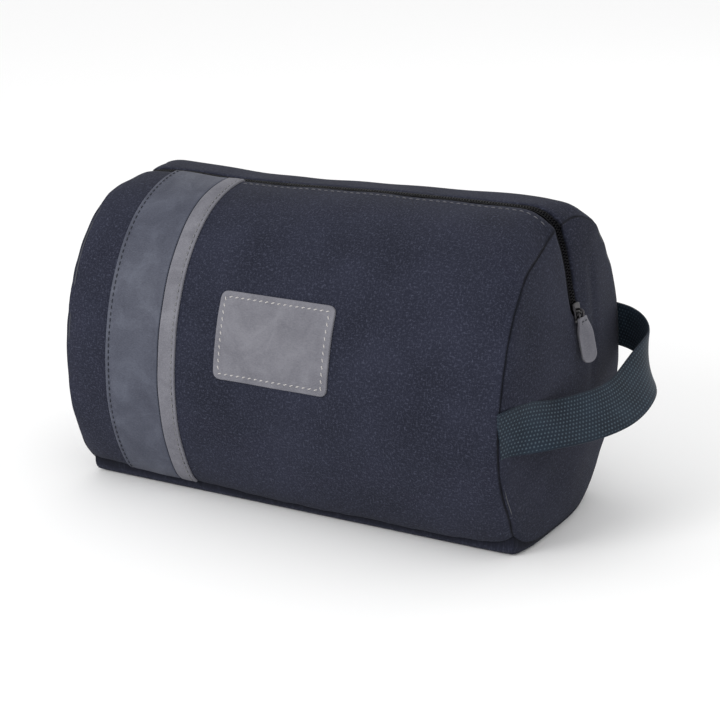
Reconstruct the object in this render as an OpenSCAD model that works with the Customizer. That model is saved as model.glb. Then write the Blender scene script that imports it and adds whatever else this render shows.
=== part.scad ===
// Shaving kit bag: a soft, lined wash bag with a top zip that runs down both ends,
// two leather stripes, a leather patch and a webbing carry loop at the right end.
// Frame: X along the bag (+X is the handle end), -Y is the front, Z is up.
// The origin is the centre of the base, on the surface that the bag stands on.

/* [Body] */
// Length between the two end seams at mid height
body_l = 260; // [220:1:312]
// Greatest width, front to back
body_w = 152; // [130:1:183]
// Height of the zip line above the table
body_h = 167; // [140:1:200]
// Height at which the body is widest
wide_z = 68; // [58:1:80]
// Width between the two bottom seams
base_w = 113; // [95:1:125]
// Length between the bottom end seams
base_l = 252; // [210:1:300]
// Height to which the base panel curls up to its seam
base_curl = 4.4; // [3:0.1:8]
// How far each end panel domes out beyond its seam
end_dome = 9; // [5:0.5:14]
// Lean of the end panels beside the zip, in degrees
end_lean = 12; // [6:1:16]
// Radius of the bend where the zip turns down over the end
corner_r = 16; // [10:1:22]

/* [Layers] */
// Thickness of the canvas
canvas_t = 1.4; // [0.8:0.1:2]
// Thickness of the lining
lining_t = 0.8; // [0.4:0.1:1.2]
// Clearance between two layers
layer_gap = 0.2; // [0.1:0.05:0.4]
// Thickness of the stiffening board on the floor of the bag
board_t = 1.6; // [1:0.1:3]
// Clear strip between the board's edge and the bottom seam
board_inset = 12; // [8:1:20]

/* [Opening] */
// Height at which the top flaps start to fold outward
fold_z = 124; // [118:1:130]
// Height of the lower end of the slit in each end panel
slit_z = 110; // [100:1:112]
// Half of the gap between the canvas edges beside the zip
zip_half = 4.5; // [4:0.1:6]
// Gap at the fold between the lower body and a flap
fold_gap = 0.5; // [0.4:0.1:1]

/* [Zip] */
// Width of each tape
tape_w = 12; // [8:1:16]
// Thickness of the tape
tape_t = 0.6; // [0.4:0.1:0.8]
// Half of the gap between the two rows of coil
coil_gap = 1.2; // [1.1:0.1:1.6]
// Width of one row of coil
coil_w = 2.2; // [1.6:0.1:2.6]
// Width of the slider
slider_w = 7.6; // [6:0.1:7.8]
// Length of the slider
slider_l = 9; // [7:0.5:12]
// Thickness of each of the slider's two plates
plate_t = 1.2; // [0.8:0.1:1.5]
// Clearance between the slider and the coil
slider_gap = 0.4; // [0.3:0.05:0.6]
// Height of the slider's centre with the bag closed
slider_z = 115.5; // [112:0.5:120]

/* [Pull] */
// Length of the leather pull below its ring
pull_l = 25; // [16:1:32]
// Width of the leather pull
pull_w = 9; // [6:0.5:12]
// Thickness of the leather pull
pull_t = 2.2; // [1.6:0.1:3]
// Wire radius of the pull's ring
ring_r = 0.67; // [0.5:0.01:0.8]
// Running clearance of the ring in the slider's bridge
ring_fit = 0.08; // [0.05:0.01:0.1]
// Lean of the hanging pull away from the vertical, in degrees
pull_lean = 19.8; // [15:0.1:30]

/* [Trim] */
// Thickness of the leather stripes and patch
leather_t = 1.2; // [0.8:0.1:2]
// Outer edge of the wide stripe
stripe_x = -103; // [-110:1:-90]
// Width of the wide stripe
wide_stripe_w = 32.6; // [20:0.2:36]
// Width of the narrow stripe
narrow_stripe_w = 11.8; // [8:0.2:16]
// Width of the patch
patch_w = 68; // [50:1:80]
// Height of the patch
patch_h = 45; // [30:1:48]
// Height of the patch's centre
patch_z = 97.5; // [90:0.5:98]
// Corner radius of the patch
patch_r = 4; // [2:0.5:8]
// Distance of the stitch line from the patch's edge
stitch_inset = 3.2; // [2:0.1:5]

/* [Handle] */
// Width of the webbing
webbing_w = 25; // [20:1:30]
// Thickness of the webbing
webbing_t = 1.6; // [1.2:0.1:2.4]
// Reach of the loop beyond the end seam
loop_reach = 33; // [28:1:40]
// Height of the webbing's centre line at the front seam
loop_front_z = 69.6; // [60:0.1:76]
// Height of the webbing's centre line at the back seam
loop_back_z = 90.8; // [80:0.1:96]
// Droop of the loop below its own plane, in degrees
loop_droop = 12; // [0:1:15]

/* [Hidden] */
$fn = 32;

canvas_color = [0.15, 0.17, 0.24];
lining_color = [0.3, 0.31, 0.34];
leather_color = [0.4, 0.45, 0.52];
grey_color = [0.48, 0.48, 0.51];
zip_color = [0.06, 0.06, 0.07];
thread_color = [0.8, 0.8, 0.78];
webbing_color = [0.12, 0.19, 0.25];

big = 2 * max(body_l, body_w, body_h);  // larger than the bag in every direction
seam_gap = 0.3;                         // gap between two panels at a seam
right = 1;
left = -1;
front = -1;
back = 1;

// Depths of the layers below the canvas's outer face
tape_d = canvas_t + layer_gap;
lining_d = tape_d + tape_t + layer_gap;
board_d = lining_d + lining_t + layer_gap;
coil_top_d = 0.1;                       // the coil lies just below the canvas face
coil_low_d = tape_d - 0.1;

// Handles of the curves that draw the cross-section
crown_reach = 0.54 * body_w / 2;        // how flat the top is beside the zip
shoulder_rise = 0.58 * (body_h - wide_z);
belly_drop = 0.42 * (wide_z - base_curl);
heel_y = 9;
heel_z = 7.3;
base_chamfer = 6.5;                     // the base panel's run up to its seam

// Side outline: the end's straight stretch, and its bulge below
crown_z = body_h + 1;                   // the outline's top, just above the profile
lean_x = body_l / 2 + end_dome - 3.7;   // the end's reach at the slider
bulge_z = slit_z - 4;                   // the straight stretch ends here

function bezier(a, b, c, d, n) = [for (i = [0:n]) let(t = i / n, s = 1 - t)
    s * s * s * a + 3 * s * s * t * b + 3 * s * t * t * c + t * t * t * d];

function drop_first(pts) = [for (i = [1:len(pts) - 1]) pts[i]];

function flip_x(pts) = [for (i = [len(pts) - 1:-1:0]) [-pts[i].x, pts[i].y]];

// Unit normal to the left of the step from a to b
function left_normal(a, b) = let(d = b - a) [-d.y, d.x] / norm(d);

// Moves each corner of a counter-clockwise outline inward by d, with mitred corners
function inset(pts, d) = let(n = len(pts)) [for (i = [0:n - 1])
    let(m = left_normal(pts[(i + n - 1) % n], pts[i]), k = left_normal(pts[i], pts[(i + 1) % n]))
    pts[i] + d * (m + k) / (1 + m * k)];

// Right half of the cross-section, from the bottom to the zip line
profile_half = concat(
    [[base_w / 2 - base_chamfer, 0]],
    bezier([base_w / 2, base_curl], [base_w / 2 + heel_y, base_curl + heel_z],
           [body_w / 2, wide_z - belly_drop], [body_w / 2, wide_z], 7),
    drop_first(bezier([body_w / 2, wide_z], [body_w / 2, wide_z + shoulder_rise],
                      [crown_reach, body_h], [0, body_h], 10)));
profile = concat(profile_half, drop_first(flip_x(profile_half)));

// Reach of the straight stretch of the end at height z
function lean_at(z) = lean_x - (z - slider_z) * tan(end_lean);

corner_c = [lean_at(crown_z) - corner_r * tan((90 - end_lean) / 2), crown_z - corner_r];
bulge_top = [lean_at(bulge_z), bulge_z];
side_half = concat(
    [[base_l / 2 - base_chamfer, 0]],
    bezier([base_l / 2, base_curl], [body_l / 2 + end_dome, 0.4 * bulge_z],
           bulge_top + 12 * [sin(end_lean), -cos(end_lean)], bulge_top, 7),
    [for (i = [0:6]) let(a = end_lean + i * (90 - end_lean) / 6)
        corner_c + corner_r * [cos(a), sin(a)]]);
side = concat(side_half, flip_x(side_half));

// Plan outline: each end is a shallow dome from seam to seam
plan_n = 6;
plan_y = body_w / 2 + 1;                // the outline's half width, just beyond the profile
function dome_share(k) = 1 - k * k;
plan_half = [for (i = [-plan_n:plan_n]) let(k = i / plan_n)
    [body_l / 2 + end_dome * dome_share(k), k * plan_y]];
plan = concat(plan_half, flip_x(plan_half));

module block(x0, x1, y0, y1, z0, z1) translate([x0, y0, z0]) cube([x1 - x0, y1 - y0, z1 - z0]);

// The three outlines, each swept straight through and drawn in by d
module profile_bar(d)
    rotate([90, 0, 90]) linear_extrude(big, center = true) polygon(inset(profile, d));
module end_bar(d) intersection() {
    rotate([90, 0, 0]) linear_extrude(big, center = true) polygon(inset(side, d));
    translate([0, 0, -big / 2]) linear_extrude(2 * big) polygon(inset(plan, d));
}
module form(d) intersection() { profile_bar(d); end_bar(d); }

// A layer of the long panels, its ends cut at depth end_d
module tube_layer(d0, d1, end_d) intersection() {
    difference() { profile_bar(d0); profile_bar(d1); }
    end_bar(end_d);
}
// A layer of the end panels, its rim at depth rim_d
module end_layer(d0, d1, rim_d) intersection() {
    profile_bar(rim_d);
    difference() { end_bar(d0); end_bar(d1); }
}

// Half spaces used to cut the layers into panels
module on_side(side_y, gap) translate([-big / 2, side_y > 0 ? gap : -big, -big / 2])
    cube([big, big - gap, 2 * big]);
module on_end(side_x) translate([side_x > 0 ? 0 : -big, -big / 2, -big / 2]) cube([big, big, 2 * big]);
module between(z0, z1) block(-big, big, -big, big, z0, z1);

seam_lo = base_curl - seam_gap / 2;
seam_hi = base_curl + seam_gap / 2;
fold_lo = fold_z - fold_gap / 2;
fold_hi = fold_z + fold_gap / 2;

module slit(half) block(-big, big, -half, half, slit_z, big);

// Long panel below the fold
module low_panel(side_y, d0, d1, end_d, z0) intersection() {
    tube_layer(d0, d1, end_d);
    on_side(side_y, 1);
    between(z0, fold_lo);
}
// Long panel above the fold, up to the zip
module top_panel(side_y, d0, d1, end_d, half) intersection() {
    tube_layer(d0, d1, end_d);
    on_side(side_y, half);
    between(fold_hi, big);
}
// End panel below the fold, with the lower end of the slit
module low_end(side_x, d0, d1, rim_d, half, z0) intersection() {
    difference() { end_layer(d0, d1, rim_d); slit(half); }
    on_end(side_x);
    between(z0, fold_lo);
}
// One half of an end panel above the fold
module top_end(side_x, side_y, d0, d1, rim_d, half) intersection() {
    end_layer(d0, d1, rim_d);
    on_end(side_x);
    on_side(side_y, half);
    between(fold_hi, big);
}

// ---- canvas ----
canvas_rim = canvas_t + layer_gap;
module canvas_low(side_y) color(canvas_color) low_panel(side_y, 0, canvas_t, 0, seam_hi);
module canvas_top(side_y) color(canvas_color) top_panel(side_y, 0, canvas_t, 0, zip_half);
module canvas_end(side_x) color(canvas_color)
    low_end(side_x, 0, canvas_t, canvas_rim, zip_half, seam_hi);
module canvas_cheek(side_x, side_y) color(canvas_color)
    top_end(side_x, side_y, 0, canvas_t, canvas_rim, zip_half);
module base_panel() color(canvas_color) intersection() {
    difference() { form(0); form(canvas_t); }
    between(-1, seam_lo);
}

// ---- lining ----
lining_low_d = lining_d + lining_t;
lining_rim = lining_low_d + layer_gap;
lining_half = slider_w / 2 + 1.2;
lining_floor = lining_low_d + layer_gap;
module lining_low(side_y) color(lining_color)
    low_panel(side_y, lining_d, lining_low_d, lining_d, lining_floor);
module lining_top(side_y) color(lining_color)
    top_panel(side_y, lining_d, lining_low_d, lining_d, lining_half);
module lining_end(side_x) color(lining_color)
    low_end(side_x, lining_d, lining_low_d, lining_rim, lining_half, lining_floor);
module lining_cheek(side_x, side_y) color(lining_color)
    top_end(side_x, side_y, lining_d, lining_low_d, lining_rim, lining_half);
module base_lining() color(lining_color) intersection() {
    form(lining_d);
    between(0, lining_low_d);
}
module base_board() color(zip_color) {
    board_x = base_l / 2 - board_inset;
    board_y = base_w / 2 - board_inset;
    round_r = board_inset;
    translate([0, 0, board_d]) linear_extrude(board_t) union() {
        square([2 * board_x, 2 * (board_y - round_r)], center = true);
        square([2 * (board_x - round_r), 2 * board_y], center = true);
        for (x = [left, right], y = [front, back])
            translate([x * (board_x - round_r), y * (board_y - round_r)]) circle(round_r);
    }
}

// ---- zip ----
module zip_strip(side_y, d0, d1, y0, y1, z0, z1) intersection() {
    difference() { form(d0); form(d1); }
    block(-big, big, min(side_y * y0, side_y * y1), max(side_y * y0, side_y * y1), z0, z1);
}
module zip_tape(side_y) color(zip_color)
    zip_strip(side_y, tape_d, tape_d + tape_t, coil_gap, coil_gap + tape_w, fold_hi, big);
module zip_coil(side_y) color(zip_color)
    zip_strip(side_y, coil_top_d, coil_low_d, coil_gap, coil_gap + coil_w, fold_hi, big);
stop_h = 1.6;                           // height of the metal stop across the coil's end
module zip_end_tape(side_x) color(zip_color) intersection() {
    difference() {
        form(tape_d);
        form(tape_d + tape_t);
        block(-big, big, -coil_gap, coil_gap, slit_z, big);
    }
    block(-big, big, -coil_gap - tape_w, coil_gap + tape_w, slit_z - tape_w, fold_lo);
    on_end(side_x);
}
module zip_end_coil(side_x) color(zip_color) intersection() {
    union() for (side_y = [front, back])
        zip_strip(side_y, coil_top_d, coil_low_d, coil_gap, coil_gap + coil_w,
                  slit_z + stop_h + layer_gap, fold_lo);
    on_end(side_x);
}
module zip_stop(side_x) color(zip_color) intersection() {
    difference() { form(0); form(coil_low_d); }
    block(-big, big, -coil_gap - coil_w, coil_gap + coil_w, slit_z, slit_z + stop_h);
    on_end(side_x);
}

// ---- slider and pull ----
// Local axes on the slider: x out of the end panel, z up along the zip
module at_slider() translate([lean_at(slider_z), 0, slider_z]) rotate([0, -end_lean, 0])
    children();
post_w = 2 * (coil_gap - slider_gap);
post_l = 2;
plate_x = slider_gap;                   // underside of the outer plate
under_x = -(tape_d + tape_t + slider_gap);
module slider_body() color(zip_color) at_slider() union() {
    block(plate_x, plate_x + plate_t, -slider_w / 2, slider_w / 2, -slider_l / 2, slider_l / 2);
    block(under_x - plate_t, under_x, -slider_w / 2, slider_w / 2, -slider_l / 2, slider_l / 2);
    block(under_x, plate_x, -post_w / 2, post_w / 2, slider_l / 2 - post_l, slider_l / 2);
}
bridge_w = 2.2;
bridge_wall = 0.85;                     // metal left round the ring's hole
hole_r = ring_r + ring_fit;
bridge_x = plate_x + plate_t;
pin_x = bridge_x + hole_r + 0.45;       // the ring's axis, in the slider's axes
pin_z = -1;
bridge_half = hole_r + bridge_wall;
module slider_bridge() color(zip_color) at_slider() difference() {
    block(bridge_x, pin_x + bridge_half, -bridge_w / 2, bridge_w / 2,
          pin_z - bridge_half, pin_z + bridge_half);
    translate([pin_x, 0, pin_z]) rotate([90, 0, 0]) cylinder(r = hole_r, h = big, center = true);
}

pin = [lean_at(slider_z) + pin_x * cos(end_lean) - pin_z * sin(end_lean), 0,
       slider_z + pin_x * sin(end_lean) + pin_z * cos(end_lean)];
// Local axes on the pull: z up along it from the ring's axis, x out of its face
module at_pull() translate(pin) rotate([0, -pull_lean, 0]) children();
arm_y = bridge_w / 2 + 2 * ring_r;      // centre line of each arm of the ring
arm_l = 5.4;
neck_half = arm_y - ring_r - 0.15;
neck_top = 1.4;                         // leather above the ring's lower bar
module bar(r, l) rotate([90, 0, 0]) cylinder(r = r, h = l, center = true);
module pull_ring() color(zip_color) at_pull() union() {
    bar(ring_r, 2 * arm_y);
    translate([0, 0, -arm_l]) bar(ring_r, 2 * arm_y);
    for (side_y = [front, back]) translate([0, side_y * arm_y, 0]) {
        translate([0, 0, -arm_l]) cylinder(r = ring_r, h = arm_l);
        sphere(r = ring_r);
        translate([0, 0, -arm_l]) sphere(r = ring_r);
    }
}
pull_top = -arm_l - ring_r - 0.5;       // where the pull reaches its full width
pull_end = pull_top - pull_l;
module pull_leather() color(grey_color) at_pull() difference() {
    rotate([0, 90, 0]) linear_extrude(pull_t, center = true) union() {
        translate([-pull_top, -pull_w / 2]) square([pull_l - pull_w / 2, pull_w]);
        translate([-pull_end - pull_w / 2, 0]) circle(pull_w / 2);
        translate([arm_l - neck_top, -neck_half]) square([neck_top - pull_top, 2 * neck_half]);
    }
    translate([0, 0, -arm_l]) bar(hole_r, 2 * pull_w);
}
pull_stitch = [0.4, 1.6, 0.5];          // one stitch: out of the face, across, along
module pull_stitching() color(thread_color) at_pull() union()
    for (k = [-1:1], face = [-1, 1])
        translate([face * (pull_t / 2 + pull_stitch.x / 2 + 0.02), k * 2.5, pull_top - 2])
            cube(pull_stitch, center = true);

// ---- leather stripes and patch ----
trim_gap = 0.1;                         // gap between the leather and the canvas under it
stripe_gap = 0.2;                       // gap between the two stripes
wide_end = stripe_x + wide_stripe_w;
module stripe(x0, x1, z0, z1) intersection() {
    difference() { profile_bar(-trim_gap - leather_t); profile_bar(-trim_gap); }
    block(x0, x1, -big, -zip_half, z0, z1);
}
module wide_stripe_part(z0, z1) color(leather_color) stripe(stripe_x, wide_end - stripe_gap, z0, z1);
module narrow_stripe_part(z0, z1) color(grey_color)
    stripe(wide_end, wide_end + narrow_stripe_w, z0, z1);

module rounded(w, h, r) union() {
    square([w - 2 * r, h], center = true);
    square([w, h - 2 * r], center = true);
    for (x = [-1, 1], y = [-1, 1]) translate([x * (w / 2 - r), y * (h / 2 - r)]) circle(r);
}
module front_patch() color(grey_color) intersection() {
    difference() { profile_bar(-trim_gap - leather_t); profile_bar(-trim_gap); }
    translate([0, 0, patch_z]) rotate([90, 0, 0]) linear_extrude(big) rounded(patch_w, patch_h, patch_r);
}
stitch_l = 2.6;
stitch_w = 0.7;
stitch_t = 0.5;
stitch_pitch = 4;
stitch_x = patch_w / 2 - stitch_inset;
stitch_y = patch_h / 2 - stitch_inset;
module stitch_row(run) {
    n = floor((run - 2 * patch_r) / stitch_pitch);
    for (i = [0:n]) translate([(i - n / 2) * stitch_pitch, 0]) square([stitch_l, stitch_w], center = true);
}
module patch_stitching() color(thread_color) intersection() {
    difference() {
        profile_bar(-trim_gap - leather_t - stitch_t);
        profile_bar(-trim_gap - leather_t - 0.02);
    }
    translate([0, 0, patch_z]) rotate([90, 0, 0]) linear_extrude(big) union() {
        for (k = [-1, 1]) {
            translate([0, k * stitch_y]) stitch_row(2 * stitch_x);
            translate([k * stitch_x, 0]) rotate(90) stitch_row(2 * stitch_y);
        }
    }
}

// ---- carry loop ----
// Local axes: x out from the end seam, y along the line between the two sewn ends
seam_y = body_w / 2 - 1.5;
loop_tilt = atan2(loop_back_z - loop_front_z, 2 * seam_y);
loop_z = (loop_back_z + loop_front_z) / 2;
pivot_x = 8;                            // the loop swings about this line
apex_y = 0.18 * seam_y;                 // the loop's furthest point lies towards the back
loop_root = end_dome * dome_share(seam_y / plan_y) + webbing_t / 2 + 2 * layer_gap;
loop_line = concat(
    bezier([loop_root, -seam_y], [0.27 * loop_reach + 1, -0.58 * seam_y],
           [loop_reach, -0.3 * seam_y], [loop_reach, apex_y], 12),
    drop_first(bezier([loop_reach, apex_y], [loop_reach, 0.6 * seam_y],
                      [0.7 * loop_reach, 0.92 * seam_y], [loop_root, seam_y], 10)));
loop_start = -38;                       // the free loop lies between these two places
loop_end = 60;
tab_gap = 0.6;
function loop_side(k) = let(n = len(loop_line)) [for (i = [0:n - 1])
    loop_line[i] + k * left_normal(loop_line[max(i - 1, 0)], loop_line[min(i + 1, n - 1)])];
function reversed(pts) = [for (i = [len(pts) - 1:-1:0]) pts[i]];
module at_loop() translate([body_l / 2, 0, loop_z]) rotate([loop_tilt, 0, 0]) children();
module webbing(y0, y1) intersection() {
    linear_extrude(webbing_w, center = true)
        polygon(concat(loop_side(-webbing_t / 2), reversed(loop_side(webbing_t / 2))));
    block(-big, big, y0, y1, -big, big);
}
module handle_webbing() color(webbing_color) at_loop()
    translate([pivot_x, 0, 0]) rotate([0, loop_droop, 0]) translate([-pivot_x, 0, 0])
        webbing(loop_start, loop_end);
module handle_tab_front() color(webbing_color) at_loop() webbing(-seam_y - 1, loop_start - tab_gap);
module handle_tab_back() color(webbing_color) at_loop() webbing(loop_end + tab_gap, seam_y + 1);

base_panel();
canvas_low(front);  // front_panel
canvas_low(back);  // back_panel
canvas_end(right);  // end_panel_right
canvas_end(left);  // end_panel_left
base_lining();
lining_low(front);  // front_lining
lining_low(back);  // back_lining
lining_end(right);  // end_lining_right
lining_end(left);  // end_lining_left
base_board();
wide_stripe_part(seam_hi, fold_lo);  // wide_stripe
narrow_stripe_part(seam_hi, fold_lo);  // narrow_stripe
front_patch();
patch_stitching();
zip_end_tape(right);  // zip_end_tape_right
zip_end_tape(left);  // zip_end_tape_left
zip_end_coil(right);  // zip_end_coil_right
zip_end_coil(left);  // zip_end_coil_left
zip_stop(right);  // zip_stop_right
zip_stop(left);  // zip_stop_left
handle_tab_front();
handle_tab_back();
canvas_top(front);  // front_panel_top
lining_top(front);  // front_lining_top
zip_tape(front);  // front_zip_tape
zip_coil(front);  // front_zip_coil
canvas_cheek(right, front);  // end_panel_right_front
canvas_cheek(left, front);  // end_panel_left_front
lining_cheek(right, front);  // end_lining_right_front
lining_cheek(left, front);  // end_lining_left_front
wide_stripe_part(fold_hi, big);  // wide_stripe_top
narrow_stripe_part(fold_hi, big);  // narrow_stripe_top
canvas_top(back);  // back_panel_top
lining_top(back);  // back_lining_top
zip_tape(back);  // back_zip_tape
zip_coil(back);  // back_zip_coil
canvas_cheek(right, back);  // end_panel_right_back
canvas_cheek(left, back);  // end_panel_left_back
lining_cheek(right, back);  // end_lining_right_back
lining_cheek(left, back);  // end_lining_left_back
slider_body();
slider_bridge();
pull_ring();
pull_leather();
pull_stitching();
handle_webbing();
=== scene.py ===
"""The looks of a canvas shaving kit bag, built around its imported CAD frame.

Lengths in this script are millimetres in the frame's own axes: X runs along the bag,
-Y is the front, Z is up. They become metres where a mesh is made.
"""
import math

import bpy
import numpy as np
from mathutils import Matrix, Vector


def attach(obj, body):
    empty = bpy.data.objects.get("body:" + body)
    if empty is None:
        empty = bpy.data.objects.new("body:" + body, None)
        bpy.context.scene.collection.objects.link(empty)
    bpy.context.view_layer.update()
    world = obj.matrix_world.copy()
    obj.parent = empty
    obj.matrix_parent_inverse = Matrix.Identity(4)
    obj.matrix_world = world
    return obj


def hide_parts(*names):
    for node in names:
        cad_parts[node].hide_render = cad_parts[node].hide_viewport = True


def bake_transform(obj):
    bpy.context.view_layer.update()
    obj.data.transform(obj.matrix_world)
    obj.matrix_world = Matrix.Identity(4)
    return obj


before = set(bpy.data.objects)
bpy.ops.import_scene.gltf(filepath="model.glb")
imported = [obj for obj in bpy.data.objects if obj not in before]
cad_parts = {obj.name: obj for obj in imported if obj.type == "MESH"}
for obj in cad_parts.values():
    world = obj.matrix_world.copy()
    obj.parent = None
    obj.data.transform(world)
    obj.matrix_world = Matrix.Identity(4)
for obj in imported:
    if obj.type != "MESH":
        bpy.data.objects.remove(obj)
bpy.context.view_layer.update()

MM = 0.001
FRONT = -1
BACK = 1
LEFT = -1
RIGHT = 1


# ---------------- sizes, in mm

half_length = 130.0
zip_gap = 4.5  # from the zip's centre line to each canvas edge
slit_end = 110.0  # height of the lower end of the zip's slits in the end panels
slit_taper = 7.0  # height over which a slit opens to its full width
end_half_width = 70.0  # half of an end panel's width and its height, to space its grid
end_height = 150.0
canvas_t = 1.3
lining_depth = 2.9
lining_t = 0.5
seam_half_width = 56.5  # the bottom seams' distance from the middle

profile_upper = ((0, 167), (41, 167), (76, 125.4), (76, 68))
profile_lower = ((76, 68), (76, 41.3), (65.5, 11.7), (56.5, 4.4))

wide_stripe_x = (-103.0, -69.35)
narrow_stripe_x = (-68.85, -58.6)
stripe_t = 1.2
patch_half_width = 34.0
patch_z = (75.0, 120.0)
patch_corner = 4.0
patch_t = 1.3
patch_stitch_inset = 3.2

seam_dent = 0.9  # how deep a panel dips beside its seam
seam_crease = 0.8  # and how deep the narrow crease at the seam itself is
seam_shade = 0.7  # how far the painted shade of the seam's dark line reaches from it
base_underside = 0.35  # the base canvas's height above the floor
base_turn = 3.2  # the radius it turns up with, and how much wider that is at the back right corner
base_turn_back = 8
base_dent_share = 0.8  # the bottom seams' share of those depths
edge_roll = 0.7  # how far the canvas edge turns down beside the zip, and over what distance


# ---------------- small maths

def curve_through(points):
    """A smooth function through a few (x, y) points, flat outside them."""
    x, y = np.array(sorted(points), float).T
    slope = np.gradient(y, x)

    def value(q):
        q = np.clip(q, x[0], x[-1])
        i = np.clip(np.searchsorted(x, q) - 1, 0, len(x) - 2)
        h = x[i + 1] - x[i]
        t = (q - x[i]) / h
        rise = y[i] * (1 + 2 * t) * (1 - t) ** 2 + y[i + 1] * t * t * (3 - 2 * t)
        return rise + h * (slope[i] * t * (1 - t) ** 2 - slope[i + 1] * t * t * (1 - t))

    return value


def bell(d, width):
    """A hump of height 1 at d = 0 that has faded at about twice its width."""
    return np.exp(-((d / width) ** 2))


def edge_drop(d, width):
    """How far a quarter-round edge has dropped, 1 at d = 0 and 0 past its width."""
    t = 1 - np.clip(d / width, 0, 1)
    return 1 - np.sqrt(np.clip(1 - t * t, 0, 1))


def smoothstep(t):
    t = np.clip(t, 0, 1)
    return t * t * (3 - 2 * t)


def bezier(points, t):
    p = np.array(points, float)
    t = np.asarray(t, float)[..., None]
    return (
        p[0] * (1 - t) ** 3
        + p[1] * 3 * t * (1 - t) ** 2
        + p[2] * 3 * t * t * (1 - t)
        + p[3] * t**3
    )


def arc_length(points):
    """The distance along a path to each of its points."""
    return np.concatenate([[0], np.cumsum(np.linalg.norm(np.diff(points, axis=0), axis=1))])


def along_path(q, arc, points):
    """The places on a path at the distances q along it."""
    return np.stack([np.interp(q, arc, points[:, k]) for k in range(points.shape[1])], axis=-1)


def unit(v):
    return v / np.maximum(np.linalg.norm(v, axis=-1, keepdims=True), 1e-9)


def waves(p, size, seed):
    """Soft unevenness between about -1 and 1, from a few sine waves about size mm long."""
    rng = np.random.default_rng(seed)
    total = np.zeros(p.shape[:-1])
    for _ in range(6):
        direction = unit(rng.normal(size=3))
        length = size * rng.uniform(0.7, 1.5)
        total += np.sin(p @ direction * 2 * math.pi / length + rng.uniform(0, 6.28))
    return total / 3


def lines(length, step, fine=(0, 0.35, 0.8, 1.4, 2.2, 3.4, 5.0, 7.5)):
    """Grid lines from 0 to length, close together near both ends and step apart between."""
    inner = fine[-1]
    count = max(2, round((length - 2 * inner) / step))
    middle = np.linspace(inner, length - inner, count + 1)
    return np.concatenate([fine[:-1], middle, [length - f for f in fine[-2::-1]]])


# ---------------- the bag's shape

def sample_profile():
    t = np.linspace(0, 1, 300)
    points = np.concatenate([bezier(profile_upper, t), bezier(profile_lower, t)[1:]])
    return points, arc_length(points)


profile_points, profile_arc = sample_profile()
profile_length = profile_arc[-1]
arc_at_gap = float(np.interp(zip_gap, profile_points[:100, 0], profile_arc[:100]))


def profile(arc):
    """Half of the bag's cross-section: distance from the middle, and height."""
    return (
        np.interp(arc, profile_arc, profile_points[:, 0]),
        np.interp(arc, profile_arc, profile_points[:, 1]),
    )


right_seam_x = curve_through(
    [(167, 125), (164, 126.5), (160, 127.5), (146, 128.8), (117, 129.8), (93, 130),
     (69, 129.7), (49, 130.1), (34, 131), (16, 131.8), (4.4, 130.5)]
)
back_seam_x = curve_through(
    [(167, 125), (164, 128), (160, 130.2), (150, 131.2), (100, 131.2), (60, 131.2), (34, 130.3),
     (16, 128), (4.4, 126.6)]
)
left_seam_x = curve_through(
    [(167, -126), (164, -128.2), (158, -129.9), (146, -131), (100, -131.6), (60, -131.2),
     (4.4, -130.6)]
)
bottom_seam_z = curve_through(
    [(-130, 7.6), (-104, 7), (-64, 6.2), (0, 4), (48, 4.6), (104, 5.6), (122, 8.6), (130, 13.2)]
)
top_sag = curve_through(
    [(-126, 3.2), (-101, 2.0), (-72, 3.0), (-34, 2.6), (0, 1.4), (35, 0.5), (62, 0.2), (130, 0.2)]
)
front_shoulder = curve_through([(0, 1), (30, 1), (47, 0.42), (56, 0.22), (68, 0)])
back_shoulder = curve_through(
    [(0, 1), (12.6, 0.6), (27, 0.3), (36, 0.12), (46, 0.3), (56, 0.5), (66, 0.42), (72, 0.18), (76, 0)]
)
back_crown = curve_through(
    [(-130, 5.0), (-105, 4.5), (-70, 3.4), (0, 3.8), (60, 4.8), (110, 4.8), (127, 3.0), (131, 0.6)]
)
left_shoulder = curve_through([(0, 1), (6, 0.8), (18, 0.3), (34, 0)])
bend_right = (106.8, 22.0)  # where the top starts to round over the end, and the radius
bend_left = (119.0, 12.0)


def rounding(beyond, radius, reach):
    """How far a round corner has dropped at a distance beyond its start."""
    d = np.clip(beyond, 0, reach)
    return radius - np.sqrt(radius**2 - d**2)


def corner_tuck(x, z):
    """How far the back's lower right corner is drawn in towards the front."""
    return 5.6 * bell(z - 20, 26) * smoothstep((x - 50) / 80)


def shell(side, u, arc):
    """A point of the bag's front or back: u from the left seam to the right, arc from the top."""
    y, z = profile(arc)
    left = left_seam_x(z)
    right = right_seam_x(z) if side == FRONT else back_seam_x(z)
    x = left + (right - left) * u
    shoulder = front_shoulder(y) if side == FRONT else back_shoulder(y)
    drop = rounding(x - bend_right[0], bend_right[1], 18.4) * shoulder
    drop = drop + rounding(-x - bend_left[0], bend_left[1], 9.0) * left_shoulder(y)
    drop = drop + top_sag(x) * (1 - smoothstep(y / 48))
    if side == BACK:
        drop = drop - back_crown(x) * bell(y - 26, 14) * smoothstep(y / 9)
    lift = (bottom_seam_z(x) - 4.4) * (1 - smoothstep((z - 4.4) / 44))
    if side == BACK:
        y = y - corner_tuck(x, z)
    return np.stack([x, side * y, z - drop + lift], axis=-1)


right_middle_x = curve_through(
    [(158, 124.5), (154, 126.3), (148.7, 128.2), (139.2, 130.8), (124.6, 133.5), (116, 135.3),
     (106, 137.3), (95, 138.4), (75, 138.7), (50, 138.1), (25, 136.6), (2, 134.6)]
)
left_middle_x = curve_through(
    [(162, -125.5), (159, -128.3), (154, -130.4), (148, -131.5), (116, -135), (95, -136.4),
     (60, -136.8), (25, -135.6), (2, -133.8)]
)


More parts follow.
